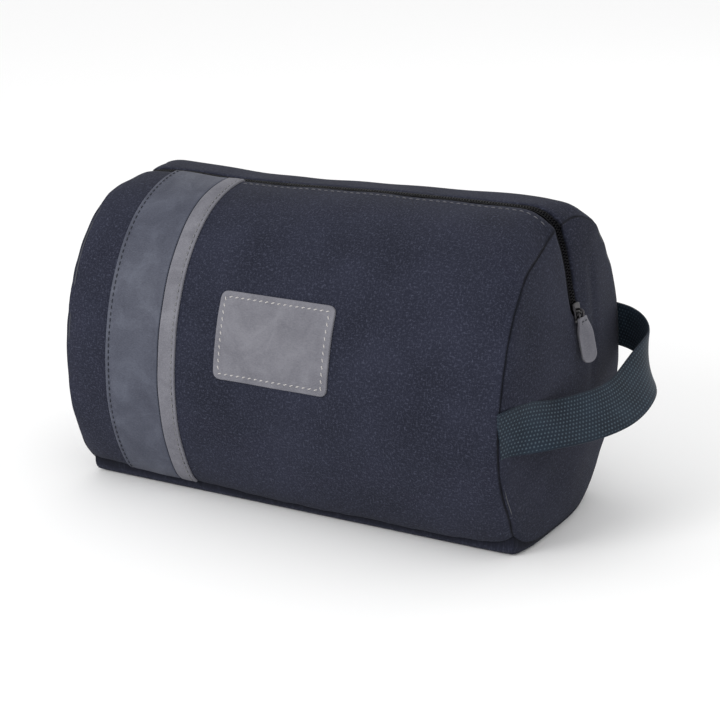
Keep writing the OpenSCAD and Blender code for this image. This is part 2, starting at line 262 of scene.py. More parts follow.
def end_point(end, side, u, v):
    """A point of an end panel's half: u from the seam to the middle, v from the top down."""
    arc = arc_at_gap + (profile_length - arc_at_gap) * v
    edge = shell(side, np.full_like(v, 1.0 if end == RIGHT else 0.0), arc)
    top = float(shell(side, np.array(1.0 if end == RIGHT else 0.0), np.array(arc_at_gap))[2])
    z_mid = top + (2.4 - top) * v
    x_mid = right_middle_x(z_mid) if end == RIGHT else left_middle_x(z_mid)
    y_mid = side * zip_gap * smoothstep((z_mid - slit_end) / slit_taper)
    x_mid = np.where(v < 0.02, edge[..., 0] + (x_mid - edge[..., 0]) * v / 0.02, x_mid)
    ease = 1 - (1 - u) ** 2
    corner = 1 - (1 - u) ** (6 if side == FRONT else 2)
    low = v**7
    x = edge[..., 0] + (x_mid - edge[..., 0]) * (ease + (corner - ease) * v**18)
    y = edge[..., 1] + (y_mid - edge[..., 1]) * u
    z = edge[..., 2] + (z_mid - edge[..., 2]) * (u * (1 - low) + corner * low)
    return np.stack([x, y, z], axis=-1)


def normals(p, outward):
    """Unit normals of a grid of points, on the side that outward points to."""
    n = unit(np.cross(np.gradient(p, axis=0), np.gradient(p, axis=1)))
    return n * np.sign(np.sum(n * outward))


def under_seam(side):
    """The direction straight out of the front or back bottom seam."""
    return np.array([0, side * 0.8, -0.6])


def seam_out(side, end, arc):
    """The direction straight out of an end seam, between its two panels."""
    y0, z0 = profile(np.clip(arc - 1, 0, None))
    y1, z1 = profile(np.clip(arc + 1, None, profile_length))
    out = np.stack([np.full_like(arc, end * 0.75), side * (z0 - z1), y1 - y0], axis=-1)
    out[..., 1:] = unit(out[..., 1:])
    return unit(out)


def dent(d):
    """How far a panel is pulled in at a distance d from its seam."""
    return seam_dent * bell(d, 5.0) + seam_crease * np.exp(-d / 0.6)


# ---------------- meshes

def new_object(name, data):
    item = bpy.data.objects.new(name, data)
    bpy.context.scene.collection.objects.link(item)
    return item


class Sheet:
    """Grids of points gathered into one mesh, each with its pattern coordinates in mm."""

    def __init__(self):
        self.points = []
        self.uvs = []
        self.wear_and_shade = []
        self.faces = []
        self.count = 0

    def add(self, p, uv, wear_and_shade=None, flip=False):
        rows, cols = p.shape[:2]
        index = self.count + np.arange(rows * cols).reshape(rows, cols)
        quads = np.stack([index[:-1, :-1], index[1:, :-1], index[1:, 1:], index[:-1, 1:]], axis=-1)
        quads = quads.reshape(-1, 4)
        if flip:
            quads = quads[:, ::-1]
        self.points.append(p.reshape(-1, 3))
        self.uvs.append(uv.reshape(-1, 2))
        self.wear_and_shade.append(np.zeros(rows * cols) if wear_and_shade is None else wear_and_shade.reshape(-1))
        self.faces.append(quads)
        self.count += rows * cols
        return index

    def slab(self, p, n, thickness, uv, wear_and_shade=None):
        """A grid with a thickness: an outer face, an inner one and the rim between."""
        du = np.gradient(p, axis=0)
        dv = np.gradient(p, axis=1)
        facing = np.sum(np.cross(du, dv) * n) > 0
        inner = p - n * (thickness if np.isscalar(thickness) else thickness[..., None])
        a = self.add(p, uv, wear_and_shade, flip=not facing)
        b = self.add(inner, uv, wear_and_shade, flip=facing)
        around = [
            (a[0], b[0]), (a[-1][::-1], b[-1][::-1]),
            (a[::-1, 0], b[::-1, 0]), (a[:, -1], b[:, -1]),
        ]
        for top, bottom in around:
            rim = np.stack([top[:-1], top[1:], bottom[1:], bottom[:-1]], axis=-1)
            self.faces.append(rim if facing else rim[:, ::-1])
        return a

    def make(self, name, material, smooth_angle=50.0):
        p = np.concatenate(self.points) * MM
        uv = np.concatenate(self.uvs)
        faces = np.concatenate([f.reshape(-1, 4) for f in self.faces])
        mesh = bpy.data.meshes.new(name)
        mesh.from_pydata(p.tolist(), [], faces.tolist())
        layer = mesh.uv_layers.new(name="pattern")
        corner = np.empty(len(mesh.loops), np.int32)
        mesh.loops.foreach_get("vertex_index", corner)
        layer.data.foreach_set("uv", (uv[corner] * 0.01).astype(np.float32).ravel())
        # a per-point colour mask: real edge wear on the leather, the webbing's pale knots, and painted
        # shade along the canvas seams
        wear_and_shade = mesh.attributes.new("wear_and_shade", "FLOAT", "POINT")
        wear_and_shade.data.foreach_set("value", np.concatenate(self.wear_and_shade).astype(np.float32))
        mesh.materials.append(material)
        mesh.validate()
        mesh.shade_smooth()
        mesh.set_sharp_from_angle(angle=math.radians(smooth_angle))
        return new_object(name, mesh)


def rod_rings(path, out, radius, sides=6):
    """A grid of rings round a path: radius is one number for each point."""
    along = unit(np.gradient(path, axis=0))
    across = unit(np.cross(along, out))
    up = unit(np.cross(across, along))
    angle = np.linspace(0, 2 * math.pi, sides + 1)
    ring = np.cos(angle)[None, :, None] * across[:, None] + np.sin(angle)[None, :, None] * up[:, None]
    return path[:, None] + ring * radius[:, None, None]


def add_rod(sheet, path, out, radius, sides=6):
    grid = rod_rings(path, out, radius, sides)
    arc = arc_length(path)
    uv = np.stack(np.broadcast_arrays(arc[:, None], np.linspace(0, 4, sides + 1)[None]), axis=-1)
    sheet.add(grid, uv, flip=True)


def add_stitch(sheet, a, b, out, radius):
    """One stitch from hole to hole: it stands proud in the middle and dives at both ends."""
    t = np.linspace(0, 1, 7)
    rise = np.sin(math.pi * t) ** 0.6
    path = a + (b - a) * t[:, None] + out * (radius * (1.3 * rise - 0.9))[:, None]
    add_rod(sheet, path, np.broadcast_to(out, path.shape), radius * (0.45 + 0.55 * rise))


# ---------------- materials

def set_inputs(node, values):
    for name, value in values.items():
        node.inputs[name].default_value = value


class Nodes:
    """A principled material and short ways to add nodes to it."""

    def __init__(self, name, colour, roughness, metallic=0.0, sheen=0.0, shine=0.5):
        self.material = bpy.data.materials.new(name)
        self.material.use_nodes = True
        self.tree = self.material.node_tree
        self.shader = self.tree.nodes["Principled BSDF"]
        set_inputs(self.shader, {
            "Base Color": (*colour, 1), "Roughness": roughness, "Metallic": metallic,
            "Sheen Weight": sheen, "Sheen Roughness": 0.6, "Specular IOR Level": shine,
        })

    def add(self, kind, **values):
        node = self.tree.nodes.new(kind)
        for key, value in values.items():
            setattr(node, key, value)
        return node

    def join(self, source, target):
        self.tree.links.new(source, target)

    def feed(self, socket, value):
        """Gives an input a number, a colour or another node's output."""
        if isinstance(value, (int, float)):
            socket.default_value = value
        elif isinstance(value, tuple):
            socket.default_value = (*value, 1)
        else:
            self.join(value, socket)

    def scaled(self, vector, scale):
        mapping = self.add("ShaderNodeMapping")
        set_inputs(mapping, {"Scale": scale})
        self.join(vector, mapping.inputs["Vector"])
        return mapping.outputs["Vector"]

    def uv(self, scale=(1, 1, 1)):
        """Pattern coordinates in units of 100 mm, times scale."""
        return self.scaled(self.add("ShaderNodeUVMap", uv_map="pattern").outputs["UV"], scale)

    def position(self, scale):
        place = self.add("ShaderNodeTexCoord")
        return self.scaled(place.outputs["Object"], (scale, scale, scale))

    def noise(self, vector, scale, detail=2.0, roughness=0.5, distortion=0.0):
        node = self.add("ShaderNodeTexNoise")
        set_inputs(node, {
            "Scale": scale, "Detail": detail, "Roughness": roughness, "Distortion": distortion
        })
        self.join(vector, node.inputs["Vector"])
        return node.outputs["Fac"]

    def voronoi(self, vector, scale):
        node = self.add("ShaderNodeTexVoronoi")
        set_inputs(node, {"Scale": scale})
        self.join(vector, node.inputs["Vector"])
        return node.outputs["Distance"]

    def math(self, operation, a, b=None):
        node = self.add("ShaderNodeMath", operation=operation)
        self.feed(node.inputs[0], a)
        if b is not None:
            self.feed(node.inputs[1], b)
        return node.outputs["Value"]

    def thread_axes(self):
        """The pattern's two directions in mm."""
        node = self.add("ShaderNodeSeparateXYZ")
        self.join(self.uv((100, 100, 1)), node.inputs["Vector"])
        return node.outputs["X"], node.outputs["Y"]

    def between(self, value, low, high, to_low=0.0, to_high=1.0):
        node = self.add("ShaderNodeMapRange")
        self.join(value, node.inputs["Value"])
        set_inputs(node, {"From Min": low, "From Max": high, "To Min": to_low, "To Max": to_high})
        return node.outputs["Result"]

    def colours(self, value, *stops):
        """Colours along a value: each stop is (position, (r, g, b))."""
        ramp = self.add("ShaderNodeValToRGB")
        band = ramp.color_ramp
        while len(band.elements) < len(stops):
            band.elements.new(0.5)
        for element, (position, colour) in zip(band.elements, stops):
            element.position = position
            element.color = (*colour, 1)
        self.join(value, ramp.inputs["Fac"])
        return ramp.outputs["Color"]

    def mix(self, factor, a, b):
        node = self.add("ShaderNodeMix", data_type="RGBA")
        for place, value in ((0, factor), (6, a), (7, b)):
            self.feed(node.inputs[place], value)
        return node.outputs[2]

    def wear_and_shade(self):
        return self.add("ShaderNodeAttribute", attribute_name="wear_and_shade").outputs["Fac"]

    def colour(self, socket):
        self.join(socket, self.shader.inputs["Base Color"])

    def roughness(self, socket):
        self.join(socket, self.shader.inputs["Roughness"])

    def bump(self, height, distance_mm, strength=1.0):
        node = self.add("ShaderNodeBump")
        set_inputs(node, {"Distance": distance_mm * MM, "Strength": strength})
        self.join(height, node.inputs["Height"])
        self.join(node.outputs["Normal"], self.shader.inputs["Normal"])


def weave_height(m, pitch):
    """A plain weave's height, from crossed rows of threads pitch mm apart."""
    x, y = m.thread_axes()
    turn = 2 * math.pi / pitch
    across = m.math("SINE", m.math("MULTIPLY", x, turn))
    along = m.math("SINE", m.math("MULTIPLY", y, turn))
    return m.math("MULTIPLY", across, along)


def canvas_material(name, dark, mid, fleck, seam_shade_colour):
    m = Nodes(name, mid, 0.92, sheen=0.02, shine=0.12)
    height = weave_height(m, 0.9)
    warp = m.noise(m.uv((34, 210, 1)), 1.0, 2)
    weft = m.noise(m.uv((210, 34, 1)), 1.0, 2)
    slubs = m.math("MAXIMUM", warp, weft)
    speck = m.noise(m.uv((90, 90, 1)), 1.0, 3, 0.65)
    cloud = m.noise(m.uv((2.5, 2.5, 1)), 1.0, 3)
    body = m.colours(cloud, (0.3, dark), (0.72, mid))
    flecks = m.between(m.math("MULTIPLY", slubs, speck), 0.27, 0.46)
    threads = m.mix(m.math("MULTIPLY", flecks, 0.6), body, fleck)
    shaded = m.mix(m.between(height, -1, 1, 0.30, 0.0), threads, dark)
    # painted shade: the colour turns near-black along the seams, where the per-point mask is high
    m.colour(m.mix(m.wear_and_shade(), shaded, seam_shade_colour))
    rough = m.math("ADD", m.math("MULTIPLY", height, 0.35), m.math("MULTIPLY", speck, 0.8))
    m.bump(rough, 0.16, 0.9)
    return m.material


def leather_material(name, dark, mid, pale, roughness, coat):
    m = Nodes(name, mid, roughness, shine=0.3)
    set_inputs(m.shader, {"Coat Weight": coat, "Coat Roughness": 0.45})
    where = m.uv((10, 10, 1))
    cloud = m.noise(where, 0.55, 5, 0.62, 0.6)
    body = m.colours(cloud, (0.25, dark), (0.5, mid), (0.9, pale))
    scuff = m.noise(m.uv((5, 16, 1)), 1.6, 6, 0.7, 1.2)
    scuffed = m.mix(m.between(scuff, 0.55, 0.75, 0.0, 0.4), body, pale)
    pores = m.voronoi(where, 9.0)
    fine = m.noise(m.uv((10, 26, 1)), 7.0, 5, 0.72)
    brushed = m.mix(m.between(fine, 0.42, 0.72, 0.0, 0.5), scuffed, pale)
    grained = m.mix(m.between(pores, 0.0, 0.4, 0.5, 0.0), brushed, dark)
    m.colour(m.mix(m.wear_and_shade(), grained, pale))
    grain = m.math("ADD", m.math("MULTIPLY", pores, 0.8), m.noise(where, 22.0, 3, 0.6))
    m.roughness(m.between(cloud, 0.3, 0.7, roughness + 0.08, roughness - 0.08))
    m.bump(grain, 0.14, 0.75)
    return m.material


def thread_material(name, colour, shade):
    m = Nodes(name, colour, 0.7, sheen=0.05, shine=0.25)
    x, y = m.thread_axes()
    twist = m.math("SINE", m.math("MULTIPLY", m.math("ADD", x, y), 9.0))
    m.colour(m.mix(m.between(twist, -1, 1), shade, colour))
    m.bump(twist, 0.08)
    return m.material


def webbing_material(name, deep, mid, pale):
    m = Nodes(name, mid, 0.6, sheen=0.02, shine=0.15)
    fibre = m.noise(m.uv((40, 260, 1)), 1.0, 2)
    tone = m.noise(m.uv((6, 6, 1)), 1.0, 2)
    raised = m.math("MULTIPLY", m.wear_and_shade(), m.between(fibre, 0.25, 0.7, 0.55, 1.1))
    body = m.colours(tone, (0.3, deep), (0.75, mid))
    m.colour(m.mix(m.between(raised, 0.25, 0.95), body, pale))
    m.bump(fibre, 0.12, 0.7)
    return m.material


def lining_material(name, dark, mid):
    m = Nodes(name, mid, 0.55, sheen=0.1, shine=0.3)
    height = weave_height(m, 0.5)
    cloud = m.noise(m.uv((5, 5, 1)), 1.0, 4)
    m.colour(m.colours(cloud, (0.3, dark), (0.7, mid)))
    m.bump(height, 0.05, 0.6)
    return m.material


def tape_material(name, dark, mid):
    m = Nodes(name, mid, 0.85, shine=0.02)
    x, y = m.thread_axes()
    rib = m.math("SINE", m.math("MULTIPLY", m.math("ADD", x, y), 7.0))
    cross = m.math("SINE", m.math("MULTIPLY", m.math("SUBTRACT", x, y), 7.0))
    height = m.math("MAXIMUM", rib, cross)
    # painted shade: darker in the low parts of the weave's ribs
    m.colour(m.colours(m.between(height, -1, 1), (0.0, dark), (1.0, mid)))
    m.bump(height, 0.1)
    return m.material


def plastic_material(name, colour, roughness):
    m = Nodes(name, colour, roughness, shine=0.025)
    speck = m.noise(m.position(900), 1.0, 2)
    m.roughness(m.between(speck, 0.3, 0.7, roughness - 0.06, roughness + 0.1))
    m.bump(speck, 0.03, 0.5)
    return m.material


def metal_material(name, colour, worn):
    m = Nodes(name, colour, 0.34, metallic=1.0)
    brushed = m.noise(m.position(700), 1.0, 4, 0.6)
    m.colour(m.colours(brushed, (0.35, colour), (0.75, worn)))
    m.roughness(m.between(brushed, 0.3, 0.7, 0.26, 0.46))
    m.bump(brushed, 0.02, 0.6)
    return m.material


def board_material(name, dark, mid):
    m = Nodes(name, mid, 0.85)
    fibre = m.noise(m.position(160), 1.0, 6, 0.7, 0.4)
    m.colour(m.colours(fibre, (0.3, dark), (0.7, mid)))
    m.bump(fibre, 0.2, 0.6)
    return m.material


navy_dark = (0.0105, 0.0118, 0.021)
navy = (0.0195, 0.0215, 0.037)
# the last colour is the near-black of the painted shade along the seams
canvas = canvas_material("navy_canvas", navy_dark, navy, (0.085, 0.092, 0.135), (0.004, 0.0045, 0.008))
blue_leather = leather_material(
    "blue_waxed_leather", (0.028, 0.031, 0.048), (0.041, 0.045, 0.066), (0.085, 0.094, 0.126), 0.58, 0.03
)
grey_leather = leather_material(
    "grey_leather", (0.086, 0.085, 0.102), (0.118, 0.117, 0.137), (0.185, 0.184, 0.208), 0.64, 0.02
)
pale_thread = thread_material("pale_thread", (0.66, 0.64, 0.62), (0.4, 0.38, 0.38))
stone_thread = thread_material("stone_thread", (0.3, 0.3, 0.31), (0.15, 0.15, 0.16))
grey_thread = thread_material("grey_thread", (0.17, 0.17, 0.19), (0.09, 0.09, 0.105))
dark_thread = thread_material("dark_thread", (0.03, 0.034, 0.05), (0.014, 0.016, 0.024))
webbing = webbing_material(
    "teal_webbing", (0.006, 0.011, 0.019), (0.012, 0.021, 0.034), (0.085, 0.125, 0.155)
)
lining = lining_material("charcoal_lining", (0.022, 0.024, 0.03), (0.04, 0.043, 0.052))
zip_tape = tape_material("black_zip_tape", (0.0015, 0.0015, 0.0025), (0.004, 0.004, 0.006))
zip_coil = plastic_material("black_zip_coil", (0.0016, 0.0016, 0.0026), 0.36)
zip_metal = metal_material("dark_zip_metal", (0.03, 0.029, 0.033), (0.085, 0.082, 0.088))
board = board_material("stiff_board", (0.02, 0.02, 0.02), (0.05, 0.05, 0.05))


# ---------------- canvas panels and lining

def long_swell(p):
    """The unevenness of the front and back panels."""
    return 0.55 * waves(p, 95, 3) + 0.22 * waves(p, 34, 4)


def skin_patch(side, step, depth=0.0):
    """The front or back of the bag as a grid, with its normals, its pattern and its seam shade."""
    across = lines(2 * half_length, step)
    down = lines(profile_length - arc_at_gap, step)
    u, arc = np.meshgrid(across / (2 * half_length), arc_at_gap + down, indexing="ij")
    p = shell(side, u, arc)
    n = normals(p, p - np.array([0, 0, 80.0]))
    to_left = across[:, None] + 0 * arc
    to_right = 2 * half_length - to_left
    to_zip = arc - arc_at_gap
    to_base = profile_length - arc
    nearest = np.minimum(np.minimum(to_left, to_right), to_base)
    below = under_seam(side)
    if depth == 0:
        edge = np.exp(-nearest / 8)
        pucker = 0.28 * edge * waves(p, 13, 5)
        p = p + n * (long_swell(p) + pucker)[..., None]
        away = smoothstep(to_zip / 14)
        p = p - seam_out(side, RIGHT, arc) * (away * dent(to_right))[..., None]
        p = p - seam_out(side, LEFT, arc) * (away * dent(to_left))[..., None]
        p = p - below * (base_dent_share * dent(to_base))[..., None]
        turned = np.exp(-to_zip / edge_roll) * smoothstep(to_left / 5) * smoothstep(to_right / 5)
        p = p - n * (edge_roll * turned)[..., None]
    else:
        p = p - n * (depth + 0.35 * waves(p, 60, 8))[..., None]
        n = normals(p, p - np.array([0, 0, 80.0]))
    # painted shade: a dark line along the side and bottom seams
    shade = bell(nearest, seam_shade)
    uv = np.stack([u * 2 * half_length, arc], axis=-1)
    return p, n, uv, shade


def end_normals(p, end):
    """An end panel's normals: its first rows are too narrow to have their own."""
    n = normals(p, np.array([float(end), 0, 0]))
    n[:6] = n[6]
    return n


def end_patch(end, side, step, depth=0.0):
    """Half of an end panel, from its seam to the middle of the end."""
    height = profile_length - arc_at_gap
    v, u = np.meshgrid(
        lines(height, step) / height, lines(end_half_width, step) / end_half_width, indexing="ij"
    )
    p = end_point(end, side, u, v)
    n = end_normals(p, end)
    arc = arc_at_gap + height * v
    half = np.abs(p[:, :1, 1] - p[:, -1:, 1])
    to_seam = u * np.maximum(half, 3.0)
    to_base = (1 - v) * end_height
    slit = smoothstep((p[:, -1:, 2] - slit_end) / slit_taper)
    to_zip = (1 - u) * np.maximum(half, 3.0)
    if depth == 0:
        free = smoothstep(to_seam / 16) * smoothstep(to_zip / 12 + 1 - slit) * smoothstep(to_base / 20)
        swell = 0.7 * waves(p, 70, 13) + 0.25 * waves(p, 26, 14)
        p = p + n * (free * swell)[..., None]
        edge = np.exp(-to_seam / 8) * smoothstep((arc - arc_at_gap) / 14)
        p = p + n * (0.25 * edge * waves(p, 13, 15) * smoothstep(to_zip / 5))[..., None]
        if end == RIGHT and side == BACK:
            crease = bell(p[..., 1] - 21 - 0.06 * (p[..., 2] - 110), 4.5)
            reach_up = smoothstep((p[..., 2] - 62) / 30) * smoothstep((146 - p[..., 2]) / 20)
            p = p - n * (crease * reach_up)[..., None]
        away = smoothstep((arc - arc_at_gap) / 14)
        p = p - seam_out(side, end, arc) * (away * dent(to_seam))[..., None]
        lower = np.array([end * 0.8, 0, -0.6])
        p = p - lower * (base_dent_share * dent(to_base))[..., None]
        turned = slit * np.exp(-to_zip / edge_roll) * smoothstep((arc - arc_at_gap - 1) / 5)
        p = p - n * (edge_roll * turned)[..., None]
    else:
        p = p - n * (depth + 0.3 * waves(p, 60, 18))[..., None]
        n = end_normals(p, end)
    # painted shade: a dark line along the end seam and the bottom seam
    shade = bell(np.minimum(to_seam, to_base), seam_shade)
    uv = np.stack([p[..., 1] + 80, p[..., 2]], axis=-1)
    return p, n, uv, shade


def end_edge(end, across):
    """The seam between an end panel and the base: across runs from -1 at the front to 1."""
    u = 1 - np.abs(across)
    front = end_point(end, FRONT, u, np.ones_like(u))
    back = end_point(end, BACK, u, np.ones_like(u))
    return np.where((across < 0)[..., None], front, back)


def base_patch(step, height=0.0):
    """The base: flat underneath, and turned up all round to the bottom seams."""
    along = lines(2 * half_length, step) / half_length - 1
    over = lines(2 * seam_half_width, step) / seam_half_width - 1
    a, c = np.meshgrid(along, over, indexing="ij")
    right = end_edge(RIGHT, c)
    left = end_edge(LEFT, c)
    x = left[..., 0] + (right[..., 0] - left[..., 0]) * (a + 1) / 2
    y = c * seam_half_width
    to_side = seam_half_width - np.abs(y)
    y = y - np.maximum(c, 0) * corner_tuck(x, 4.4)
    to_end = np.where(a > 0, right[..., 0] - x, x - left[..., 0])
    end_z = np.where(a > 0, right[..., 2], left[..., 2])

    turn = base_turn + base_turn_back * smoothstep((x - 90) / 40) * smoothstep((c - 0.3) / 0.7)
    side_rise = (bottom_seam_z(x) - base_underside) * edge_drop(to_side, turn)
    end_rise = (end_z - base_underside) * edge_drop(to_end, turn)
    z = base_underside + np.maximum(side_rise, end_rise)
    p = np.stack([x, y, z], axis=-1)
    n = normals(p, np.array([0, 0, -1.0]))
    uv = np.stack([x + 150, y], axis=-1)
    if height:
        inner = np.stack([x * 0.975, y * 0.955, np.maximum(z, 0) * 0.6 + height], axis=-1)
        return inner, normals(inner, np.array([0, 0, 1.0])), uv, 0 * x
    out = unit(np.stack([0.2 * np.sign(x) * (to_end < 6), np.sign(y) * 0.8, 0 * x - 0.6], axis=-1))
    p = p - out * (base_dent_share * dent(to_side) * (to_side < 8))[..., None]
    ends = unit(np.stack([np.sign(x) * 0.8, 0 * x, 0 * x - 0.6], axis=-1))
    p = p - ends * (base_dent_share * dent(to_end) * (to_end < 8))[..., None]
    p[..., 2] = np.maximum(p[..., 2], 0.3)
    # painted shade: a dark line along the base's seams
    shade = 0.9 * bell(np.minimum(to_side, to_end), 0.5)
    return p, n, uv, shade


def fold(piece):
    """Bakes the piece's placement into its mesh."""
    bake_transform(piece)


def canvas_panel(name, patch, nodes, flap=None, thickness=canvas_t):
    p, n, uv, shade = patch
    sheet = Sheet()
    sheet.slab(p, n, thickness, uv, shade)
    piece = sheet.make(name, canvas)
    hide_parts(*nodes)
    if flap:
        fold(piece)
    else:
        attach(piece, "root")
    return piece


canvas_step = 3.0
canvas_panel(
    "canvas_front", skin_patch(FRONT, canvas_step), ["front_panel", "front_panel_top"], "front_flap"
)
canvas_panel(
    "canvas_back", skin_patch(BACK, canvas_step), ["back_panel", "back_panel_top"], "back_flap"
)
for end, end_name in ((RIGHT, "right"), (LEFT, "left")):
    for side, side_name in ((FRONT, "front"), (BACK, "back")):
        stands_for = [f"end_panel_{end_name}_{side_name}", f"end_panel_{end_name}"]
        canvas_panel(
            f"canvas_end_{end_name}_{side_name}", end_patch(end, side, 2.5), stands_for,
            f"{side_name}_flap",
        )
canvas_panel("canvas_base", base_patch(4.0), ["base_panel"], thickness=1.0)


def lining_piece(side, side_name):
    sheet = Sheet()
    patches = [skin_patch(side, 6.0, lining_depth)]
    patches += [end_patch(end, side, 5.0, lining_depth) for end in (RIGHT, LEFT)]
    for p, n, uv, _ in patches:
        sheet.slab(p, n, lining_t, uv)
    piece = sheet.make(f"lining_{side_name}", lining)
    nodes = [f"{side_name}_lining", f"{side_name}_lining_top"]
    nodes += [f"end_lining_{end_name}_{side_name}" for end_name in ("right", "left")]
    nodes += ["end_lining_right", "end_lining_left"]
    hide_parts(*nodes)
    fold(piece)


lining_piece(FRONT, "front")
lining_piece(BACK, "back")

base_inside = Sheet()
inside_p, inside_n, inside_uv, _ = base_patch(6.0, height=5.3)
base_inside.slab(inside_p, inside_n, lining_t, inside_uv)
base_lining = base_inside.make("lining_base", lining)
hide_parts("base_lining")
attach(base_lining, "root")


# ---------------- leather on the front

def front_point(x, arc):
    """A place on the front, x along the bag and arc down from the top."""
    z = profile(arc)[1]
    left = left_seam_x(z)
    return shell(FRONT, (x - left) / (right_seam_x(z) - left), arc)


def on_front(x, arc):
    """A point of the finished front canvas and its normal, for what is sewn to it."""
    step = 0.5
    p = front_point(x, arc)
    du = front_point(x + step, arc) - front_point(x - step, arc)
    dv = front_point(x, arc + step) - front_point(x, arc - step)
    n = unit(np.cross(dv, du))
    n = n * np.sign(-n[..., 1:2] + n[..., 2:3])
    return p + n * long_swell(p)[..., None], n


def arc_at_height(z):
    """How far down the front a height is, on the side part of the profile."""
    return np.interp(-np.asarray(z, float), -profile_points[:, 1], profile_arc)


def rounded_height(d, thickness, radius=0.9):
    """The height of a leather edge at a distance d in from its cut."""
    return thickness - radius * 0.75 * edge_drop(d, radius)


def front_stitch(sheet, x, arc, lift, radius):
    """A stitch on the front: x and arc of its two ends, and its height off the canvas."""
    ends, out = on_front(np.array(x), np.array(arc))
    ends = ends + out * lift
    add_stitch(sheet, ends[0], ends[1], out[0], radius)


leather_fine = (0, 0.12, 0.3, 0.55, 0.9, 1.5, 2.4)


def stripe(name, x_range, material, nodes, stitch_in, stitch_side, thread, wear_edge):
    """A leather strip sewn down the front, from the zip to the bottom seam."""
    width = x_range[1] - x_range[0]
    across = lines(width, 2.0, leather_fine)
    down = lines(profile_length - arc_at_gap - 1.0, 2.0, leather_fine) + arc_at_gap
    x, arc = np.meshgrid(x_range[0] + across, down, indexing="ij")
    p, n = on_front(x, arc)
    edge = np.minimum(x - x_range[0], x_range[1] - x)
    height = rounded_height(edge, stripe_t)
    row_x = x_range[0] + stitch_in if stitch_side == LEFT else x_range[1] - stitch_in
    height = height - 0.28 * bell(x - row_x, 0.7)
    height = height + 0.12 * waves(p, 22, 31)
    bottom = profile_length - arc
    p = p - under_seam(FRONT) * (base_dent_share * dent(bottom))[..., None]
    p = p - n * (edge_roll * np.exp(-(arc - arc_at_gap) / edge_roll))[..., None]
    sheet = Sheet()
    worn = wear_edge * np.exp(-edge / 0.45)
    top = p + n * (height + 0.1)[..., None]
    sheet.slab(top, n, height, np.stack([x + 150, arc], axis=-1), worn)
    piece = sheet.make(name, material)
    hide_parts(*nodes)
    fold(piece)

    rows = Sheet()
    pitch = 3.4
    count = int((profile_length - arc_at_gap - 4) / pitch)
    for i in range(count):
        start = arc_at_gap + 2 + i * pitch
        front_stitch(rows, [row_x, row_x], [start, start + 2.3], stripe_t - 0.02, 0.3)
    row = rows.make(f"{name}_stitches", thread)
    fold(row)


stripe(
    "stripe_wide", wide_stripe_x, blue_leather, ["wide_stripe", "wide_stripe_top"],
    2.2, LEFT, dark_thread, 0.55,
)
stripe(
    "stripe_narrow", narrow_stripe_x, grey_leather,
    ["narrow_stripe", "narrow_stripe_top"], 1.9, RIGHT, stone_thread, 0.6,
)


def square_to_rounded(x, z, half_w, half_h, corner):
    """Pulls the corners of a rectangular grid in onto round corners."""
    a = np.maximum(np.abs(x) - (half_w - corner), 0)
    b = np.maximum(np.abs(z) - (half_h - corner), 0)
    length = np.hypot(a, b)
    pull = np.where(length > 0, np.maximum(a, b) / np.maximum(length, 1e-9), 1)
    new_x = np.where(a > 0, np.sign(x) * (half_w - corner + a * pull), x)
    new_z = np.where(b > 0, np.sign(z) * (half_h - corner + b * pull), z)
    return new_x, new_z


def edge_distance(x, z, half_w, half_h, corner):
    """How far inside a rounded rectangle a point is."""
    a = np.abs(x) - (half_w - corner)
    b = np.abs(z) - (half_h - corner)
    outside = np.hypot(np.maximum(a, 0), np.maximum(b, 0))
    return corner - outside - np.minimum(np.maximum(a, b), 0)


patch_arc = (float(arc_at_height(patch_z[1])), float(arc_at_height(patch_z[0])))
patch_mid = sum(patch_arc) / 2
patch_half_height = (patch_arc[1] - patch_arc[0]) / 2


def patch():
    """The blank leather patch in the middle of the front, with its stitched border."""
    xs = lines(2 * patch_half_width, 2.0, leather_fine) - patch_half_width
    zs = lines(2 * patch_half_height, 2.0, leather_fine) - patch_half_height
    x, z = np.meshgrid(xs, zs, indexing="ij")
    x, z = square_to_rounded(x, z, patch_half_width, patch_half_height, patch_corner)
    d = edge_distance(x, z, patch_half_width, patch_half_height, patch_corner)
    p, n = on_front(x, patch_mid + z)
    height = rounded_height(d, patch_t) - 0.3 * bell(d - patch_stitch_inset, 0.9)
    height = height + 0.08 * waves(p, 24, 41)
    sheet = Sheet()
    top = p + n * (height + 0.1)[..., None]
    sheet.slab(top, n, height, np.stack([x + 300, z], axis=-1), 0.6 * np.exp(-d / 0.5))
    piece = sheet.make("patch", grey_leather)
    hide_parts("front_patch")
    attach(piece, "root")


def border_sides():
    """The stitched border's four straight sides, each with its direction, and its corners' radius."""
    w = patch_half_width - patch_stitch_inset
    h = patch_half_height - patch_stitch_inset
    r = max(patch_corner - patch_stitch_inset, 1.2)
    long_side = 2 * (w - r)
    short_side = 2 * (h - r)
    sides = (
        (long_side, (1, 0), (w - r, h - r)),
        (short_side, (0, -1), (w - r, -(h - r))),
        (long_side, (-1, 0), (-(w - r), -(h - r))),
        (short_side, (0, 1), (-(w - r), h - r)),
    )
    return sides, r


def border_point(s):
    """The place and direction at a distance s round the patch's stitched border."""
    sides, r = border_sides()
    quarter = r * math.pi / 2
    for length, direction, centre in sides:
        direction = np.array(direction, float)
        out = np.array([-direction[1], direction[0]])
        if s <= length:
            return np.array(centre) + r * out + direction * (s - length), direction
        s -= length
        if s <= quarter:
            angle = s / r
            spot = np.array(centre) + r * (out * math.cos(angle) + direction * math.sin(angle))
            return spot, direction * math.cos(angle) - out * math.sin(angle)
        s -= quarter


